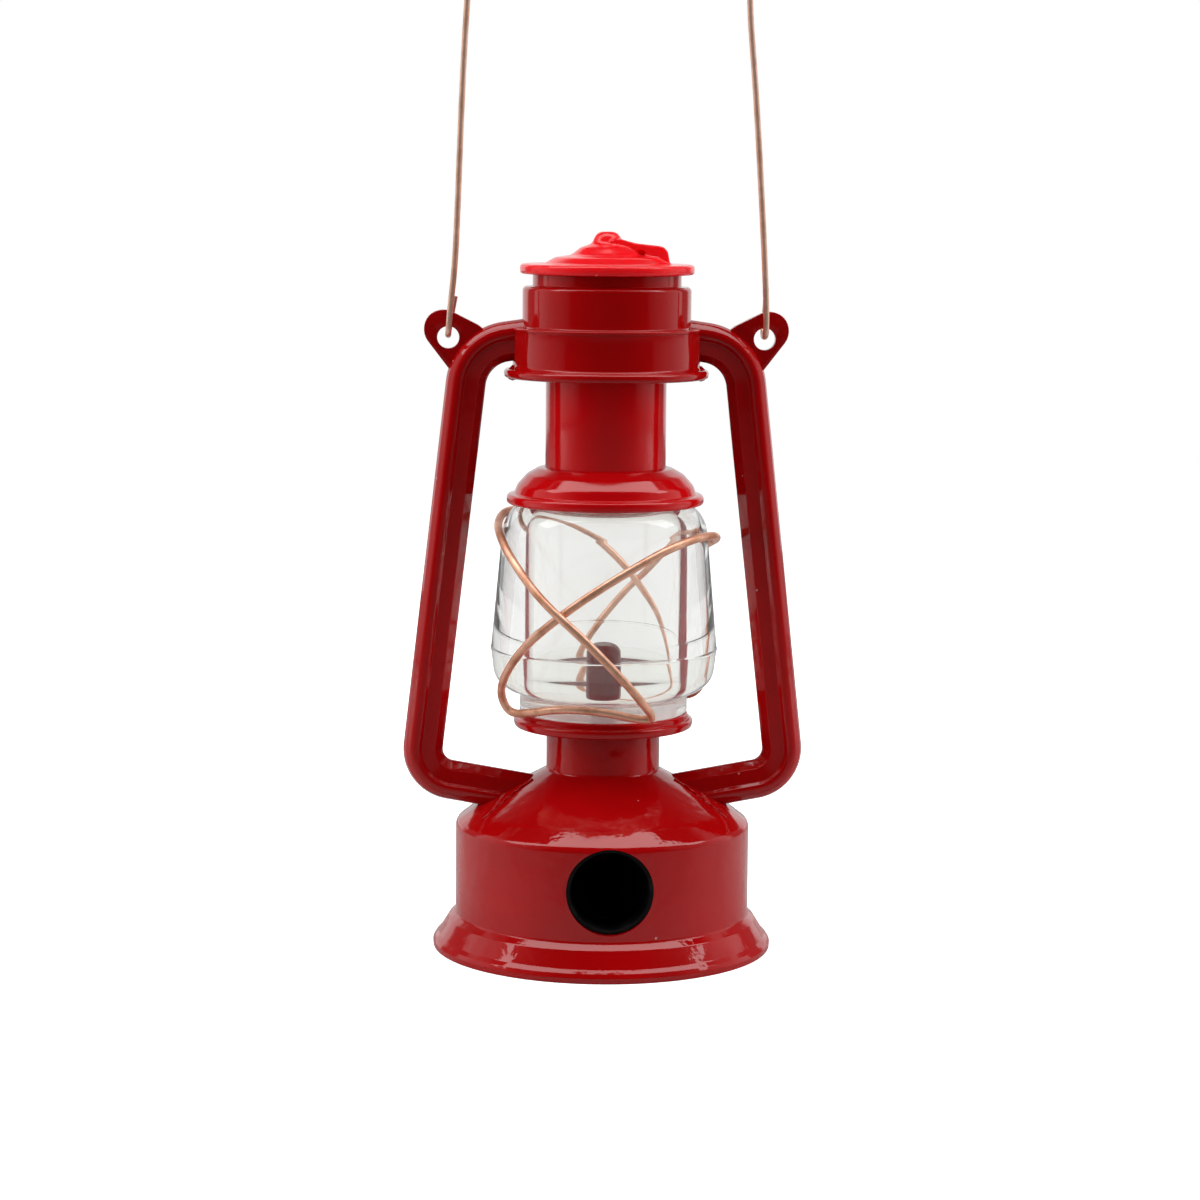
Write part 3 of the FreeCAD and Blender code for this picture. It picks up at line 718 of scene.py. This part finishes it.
# Globe guard.
# One length of soft copper wire bent by hand round the globe, so that it crosses itself in front and
# again behind. It is slightly tarnished, with drawn streaks along it.
guard_radius = 0.44
guard_route = [
    (-11.4, 0.2, 45.4), (-11.2, -3.2, 44.5), (-10.4, -6.0, 42.9), (-8.6, -8.9, 40.4), (-6.8, -11.0, 38.4),
    (-5.0, -12.3, 36.8), (-3.1, -12.7, 35.1), (-0.7, -12.7, 32.7), (1.4, -12.6, 30.5), (3.2, -11.6, 28.3),
    (4.9, -9.2, 25.95), (3.0, -9.5, 26.0), (0.2, -9.8, 26.7), (-2.7, -9.5, 27.0), (-5.3, -8.4, 26.9),
    (-7.8, -6.4, 26.2), (-10.0, -3.7, 25.6), (-11.0, -3.8, 27.3), (-11.0, -5.5, 29.3), (-10.0, -7.8, 31.7),
    (-8.4, -9.5, 34.0), (-6.1, -10.8, 36.2), (-3.4, -11.7, 38.4), (-0.1, -11.95, 40.6), (3.0, -11.4, 42.4),
    (6.3, -9.8, 44.0), (9.5, -6.9, 44.8), (11.4, -3.4, 44.6), (12.0, 0.0, 43.9),
    (11.5, 3.4, 43.1), (10.2, 6.2, 41.8), (8.5, 8.9, 39.8), (6.8, 11.0, 38.0), (5.0, 12.3, 36.5),
    (3.1, 12.7, 34.9), (0.7, 12.7, 32.7), (-1.4, 12.6, 30.5), (-3.2, 11.6, 28.3), (-4.9, 9.2, 25.95),
    (-3.0, 9.5, 26.0), (-0.2, 9.8, 26.7), (2.7, 9.5, 27.0), (5.3, 8.4, 26.7), (8.3, 6.5, 25.9),
    (10.3, 4.6, 26.4), (11.2, 4.5, 28.4), (10.6, 7.2, 31.0), (8.7, 9.5, 33.8), (6.1, 10.8, 36.2),
    (3.4, 11.7, 38.8), (0.1, 11.9, 41.4), (-3.0, 11.3, 43.6), (-6.2, 9.5, 45.4), (-9.0, 6.8, 46.3),
    (-10.7, 3.6, 46.3),
]


def wire_mesh(name, route, radius, closed):
    """Round wire along a smooth line guided by the route's points, in millimetres, made into a mesh."""
    data = bpy.data.curves.new(name, "CURVE")
    data.dimensions = "3D"
    data.resolution_u = 10
    data.bevel_depth = radius * mm
    data.bevel_resolution = 6
    data.use_fill_caps = not closed
    line = data.splines.new("NURBS")
    line.points.add(len(route) - 1)
    for point, spot in zip(line.points, route):
        point.co = (*(Vector(spot) * mm), 1)
    line.order_u = 3
    line.use_cyclic_u = closed
    line.use_endpoint_u = not closed
    wire = bpy.data.objects.new(name, data)
    scene.collection.objects.link(wire)
    wire.select_set(True)
    bpy.context.view_layer.objects.active = wire
    bpy.ops.object.convert(target="MESH")
    wire = bpy.context.object
    bpy.ops.object.shade_smooth()
    bpy.ops.object.select_all(action="DESELECT")
    return wire


def copper(name, colour, tarnish, roughness):
    """Drawn copper wire: bright metal with brown tarnish in streaks and fine drawing marks."""
    material, tree, shader = fresh_material(name)
    link = tree.links.new
    shader.inputs["Metallic"].default_value = 0.6
    place = tree.nodes.new("ShaderNodeTexCoord").outputs["Object"]
    stain = grain(tree, place, 330, 6)
    stain.inputs["Roughness"].default_value = 0.65
    tone = ramp(tree, 0.36, tarnish, 0.56, colour)
    gloss = spread(tree, roughness * 1.3, roughness * 0.8, 0.3, 0.7)
    drawn = grain(tree, place, 2600, 3)
    bump = raised(tree, drawn.outputs["Fac"], 0.02, 0.5)
    link(stain.outputs["Fac"], tone.inputs["Fac"])
    link(stain.outputs["Fac"], gloss.inputs["Value"])
    link(tone.outputs["Color"], shader.inputs["Base Color"])
    link(gloss.outputs["Result"], shader.inputs["Roughness"])
    link(bump.outputs["Normal"], shader.inputs["Normal"])
    return material


guard_copper = copper("guard_copper", (0.98, 0.54, 0.37), (0.64, 0.29, 0.17), 0.34)
guard = wire_mesh("guard", guard_route, guard_radius, True)
guard.data.materials.append(guard_copper)
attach(guard, "lantern")
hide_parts("globe_guard")

# Bail.
# A thinner, paler copper wire, straightened by hand, bent into an arch. Each end goes through an ear from
# the front and turns up behind it, so that the bail swings in the ear holes.
bail_radius = 0.32
hook_x = 16.65
hook_bottom = 65.3
hook_half_width = 1.75
bail_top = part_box("bail")[1].z / mm
arch_radius = 14.5
arch_centre = bail_top - bail_radius - arch_radius
arch_steps = 8
step_angle = math.pi / arch_steps
arch_reach = arch_radius / math.cos(step_angle / 2)
arch_angles = [step_angle * (step + 0.5) for step in range(arch_steps)]
arch = [(arch_reach * math.cos(turn), 0, arch_centre + arch_reach * math.sin(turn)) for turn in arch_angles]
right_leg = [
    (16.98, hook_half_width, 69.4), (16.9, hook_half_width, 67.6), (hook_x, hook_half_width, hook_bottom),
    (hook_x, -hook_half_width, hook_bottom), (16.66, -1.72, 68.0), (16.42, -1.52, 73.0),
    (16.06, -1.22, 79.2), (15.62, -0.95, 86.0), (15.15, -0.6, 92.6), (14.62, -0.3, 98.5),
]
left_leg = [
    (-14.86, -0.3, 98.5), (-15.18, -0.6, 92.6), (-15.47, -0.95, 85.4), (-15.66, -1.22, 79.8),
    (-15.96, -1.52, 72.6), (-16.5, -1.72, 67.8), (-hook_x, -hook_half_width, hook_bottom),
    (-hook_x, hook_half_width, hook_bottom), (-16.3, hook_half_width, 67.4), (-15.95, hook_half_width, 69.3),
]
bail_copper = copper("bail_copper", (1.0, 0.64, 0.49), (0.80, 0.45, 0.31), 0.38)
bail = wire_mesh("bail_wire", right_leg + arch + left_leg, bail_radius, False)
bail.data.materials.append(bail_copper)
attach(bail, "bail")
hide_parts("bail")

# Side tubes.
# Cast in zinc with the same enamel: a fat half-round rib along the outer side and a flatter web inside,
# both with drafted flanks. Each runs from the collar down to the shoulder, where a ragged line of flash
# stands along the joint, and carries a flat ear. A small lump of paint hangs under the collar.
tube_top_end = Vector((8.5, 0, 64.95)) * mm
tube_top_corner = Vector((14.36, 0, 64.10)) * mm
tube_foot_corner = Vector((19.55, 0, 18.50)) * mm
tube_foot_end = Vector((7.6, 0, 16.37)) * mm
tube_bends = (4.95 * mm, 3.4 * mm)
half_section = [
    (2.1, 0.35, 0.2), (1.86, 1.15, 0.5), (1.25, 1.88, 0.75), (0.5, 1.9, 0.45), (0.12, 1.45, 0.12),
    (-1.28, 1.36, 0.16), (-1.95, 0.45, 0.25), (-2.1, 0.2, 0.1),
]
other_half = [(across, -deep, rounding) for across, deep, rounding in reversed(half_section)]
section = half_section + other_half
top_way = (tube_top_corner - tube_top_end).normalized()
long_way = (tube_foot_corner - tube_top_corner).normalized()
foot_way = (tube_foot_end - tube_foot_corner).normalized()
out_of_tube = Vector((-top_way.z, 0, top_way.x))

right_tube = rounded_run(
    "right_tube", section,
    lambda across, deep: tube_top_end + out_of_tube * across * mm + Vector((0, deep * mm, 0)),
    closed=True,
)
bpy.ops.object.mode_set(mode="EDIT")
bpy.ops.mesh.select_all(action="SELECT")
run_start = tube_top_end
bends = (
    (tube_top_corner, tube_bends[0], top_way, long_way),
    (tube_foot_corner, tube_bends[1], long_way, foot_way),
)
for corner, bend, before, after in bends:
    turn = before.angle(after)
    cut = bend * math.tan(turn / 2)
    bend_start = corner - before * cut
    inward = (after - before).normalized()
    centre = corner + inward * math.hypot(bend, cut)
    bpy.ops.mesh.extrude_region_move(TRANSFORM_OT_translate={"value": bend_start - run_start})
    bpy.ops.mesh.spin(steps=20, angle=turn, center=centre, axis=(0, -1, 0))
    run_start = corner + after * cut
bpy.ops.mesh.extrude_region_move(TRANSFORM_OT_translate={"value": tube_foot_end - run_start})
bpy.ops.mesh.select_all(action="SELECT")
bpy.ops.mesh.remove_doubles(threshold=mm / 500)
bpy.ops.mesh.fill_holes(sides=0)
bpy.ops.mesh.normals_make_consistent(inside=False)
bpy.ops.object.mode_set(mode="OBJECT")
bpy.ops.object.select_all(action="DESELECT")
under_the_enamel = turned("under_the_enamel", [
    (0, 0, 0), (15.4, 0, 0), (15.4, 13.3, 0), (13.3, 14.8, 3.0), (5.8, 18.9, 0), (0, 18.9, 0),
], closed=False, steps=96)
cut_away(right_tube, under_the_enamel)

ear_thickness = 1.3
ear_draft = 0.38
ear_hole_x = 16.65
ear_hole_z = 65.07
ear_hole_radius = 1.15
ear_outline = [
    (17.62, 68.45, 2.1), (19.85, 66.05, 2.1), (16.2, 61.3, 0.1), (14.4, 62.3, 0.1), (12.2, 65.4, 0.1),
    (13.55, 66.42, 1.2),
]
ear = rounded_run(
    "ear", ear_outline, lambda across, up: Vector((across, -ear_thickness / 2, up)) * mm, closed=True,
)
bpy.ops.object.mode_set(mode="EDIT")
bpy.ops.mesh.select_all(action="SELECT")
bpy.ops.mesh.edge_face_add()
bpy.ops.mesh.extrude_region_move(TRANSFORM_OT_translate={"value": (0, ear_thickness * mm, 0)})
bpy.ops.mesh.select_all(action="SELECT")
bpy.ops.mesh.normals_make_consistent(inside=False)
bpy.ops.object.mode_set(mode="OBJECT")
cut_away(ear, rod((ear_hole_x, -3, ear_hole_z), (ear_hole_x, 3, ear_hole_z), ear_hole_radius, 72))
draft = ear.modifiers.new("draft", "BEVEL")
draft.width = ear_draft * mm
draft.segments = 4
draft.limit_method = "ANGLE"
draft.angle_limit = math.radians(50)
bpy.context.view_layer.objects.active = ear
ear.select_set(True)
bpy.ops.object.modifier_apply(modifier="draft")
flash_radius = 0.13
flash_route = [
    (7.6, -2.0, 18.3), (8.1, -2.5, 17.85), (8.7, -2.45, 17.7), (9.1, -3.0, 17.3), (9.6, -3.0, 17.1),
    (9.9, -3.6, 16.75), (10.5, -3.6, 16.5), (10.7, -4.2, 16.2), (11.3, -4.2, 15.95), (11.5, -4.8, 15.7),
    (12.1, -4.9, 15.4), (12.3, -5.5, 15.15), (12.9, -5.6, 14.75),
]
flash = wire_mesh("flash", flash_route, flash_radius, False)
lump = turned("lump", [
    (0, 60.6, 0),
    (0.5, 60.8, 0.3),
    (0.62, 61.7, 0.5),
    (0, 62.3, 0),
], closed=False, steps=32)
lump.data.transform(Matrix.Translation(Vector((9.9, -1.2, 0)) * mm))
for extra in (flash, lump, ear):
    extra.select_set(True)
right_tube.select_set(True)
bpy.context.view_layer.objects.active = right_tube
bpy.ops.object.join()
finish_surface(right_tube, sharp=30, outward=False)
right_tube.data.materials.append(red_enamel)

left_tube = right_tube.copy()
left_tube.data = right_tube.data.copy()
left_tube.name = "left_tube"
scene.collection.objects.link(left_tube)
left_tube.data.transform(Matrix.Scale(-1, 4, (1, 0, 0)))
left_tube.data.flip_normals()
for side_tube, node_name in ((right_tube, "right_side_tube"), (left_tube, "left_side_tube")):
    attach(side_tube, "lantern")
    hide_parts(node_name)

# Sharpener block, bottom plate, blade and screws.
# The block and the plate are black plastic mouldings with softened edges; the blade is ground steel, coloured
# near black as painted shade for the dark inside the block, and the two screws are zinc plated. They are
# seen through the pencil hole and from below.


def softened(node_name, piece_name, edge, material):
    """The CAD node's own shape as a clean mesh with its sharp edges softened, in place of the node."""
    piece = frame["nodes"][node_name].copy()
    piece.data = piece.data.copy()
    piece.name = piece_name
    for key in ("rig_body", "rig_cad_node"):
        if key in piece:
            del piece[key]
    piece.parent = None
    scene.collection.objects.link(piece)
    bpy.ops.object.select_all(action="DESELECT")
    piece.select_set(True)
    bpy.context.view_layer.objects.active = piece
    bpy.ops.object.mode_set(mode="EDIT")
    bpy.ops.mesh.select_all(action="SELECT")
    bpy.ops.mesh.remove_doubles(threshold=mm / 2000)
    bpy.ops.mesh.dissolve_limited(angle_limit=math.radians(0.5))
    bpy.ops.object.mode_set(mode="OBJECT")
    if edge:
        soft_edge = piece.modifiers.new("soft_edge", "BEVEL")
        soft_edge.width = edge * mm
        soft_edge.segments = 3
        soft_edge.limit_method = "ANGLE"
        soft_edge.angle_limit = math.radians(35)
        bpy.ops.object.modifier_apply(modifier="soft_edge")
    bpy.ops.object.shade_smooth_by_angle(angle=math.radians(35))
    bpy.ops.object.select_all(action="DESELECT")
    piece.data.materials.clear()
    piece.data.materials.append(material)
    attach(piece, "lantern")
    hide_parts(node_name)


black_plastic, black_tree, black_shader = fresh_material("black_plastic")
black_link = black_tree.links.new
black_shader.inputs["Specular IOR Level"].default_value = 0.15
black_place = black_tree.nodes.new("ShaderNodeTexCoord").outputs["Object"]
black_dust = grain(black_tree, black_place, 500, 5)
black_tone = ramp(black_tree, 0.45, (0.003, 0.003, 0.0035), 0.75, (0.014, 0.013, 0.012))
black_gloss = spread(black_tree, 0.45, 0.75)
black_grain = grain(black_tree, black_place, 3200, 4)
black_bump = raised(black_tree, black_grain.outputs["Fac"], 0.015, 0.6)
black_link(black_dust.outputs["Fac"], black_tone.inputs["Fac"])
black_link(black_dust.outputs["Fac"], black_gloss.inputs["Value"])
black_link(black_tone.outputs["Color"], black_shader.inputs["Base Color"])
black_link(black_gloss.outputs["Result"], black_shader.inputs["Roughness"])
black_link(black_bump.outputs["Normal"], black_shader.inputs["Normal"])


def steel(name, colour, roughness, grind):
    """Bare or plated steel with a little staining and grinding marks, drawn out along X by a small grind."""
    material, tree, shader = fresh_material(name)
    link = tree.links.new
    shader.inputs["Metallic"].default_value = 1
    place = tree.nodes.new("ShaderNodeTexCoord").outputs["Object"]
    stretch = tree.nodes.new("ShaderNodeMapping")
    stretch.inputs["Scale"].default_value = (grind, 1, 1)
    link(place, stretch.inputs["Vector"])
    marks = grain(tree, stretch.outputs["Vector"], 6000, 3)
    stain = grain(tree, place, 700)
    stained_colour = [share * 0.6 for share in colour]
    tone = ramp(tree, 0.3, stained_colour, 0.6, colour)
    gloss = spread(tree, roughness * 0.7, roughness * 1.4)
    bump = raised(tree, marks.outputs["Fac"], 0.01, 0.5)
    link(stain.outputs["Fac"], tone.inputs["Fac"])
    link(tone.outputs["Color"], shader.inputs["Base Color"])
    link(marks.outputs["Fac"], gloss.inputs["Value"])
    link(gloss.outputs["Result"], shader.inputs["Roughness"])
    link(bump.outputs["Normal"], shader.inputs["Normal"])
    return material


# The blade's steel is near black: painted shade for the dark inside of the sharpener block.
blade_steel = steel("blade_steel", (0.10, 0.10, 0.105), 0.45, 0.05)
plated_steel = steel("plated_steel", (0.60, 0.58, 0.52), 0.3, 1)
softened("sharpener_block", "block", 0.12, black_plastic)
softened("bottom_plate", "plate", 0.15, black_plastic)
softened("sharpener_blade", "blade", 0, blade_steel)
softened("blade_screw", "small_screw", 0.05, plated_steel)
softened("post_screw", "long_screw", 0.05, plated_steel)
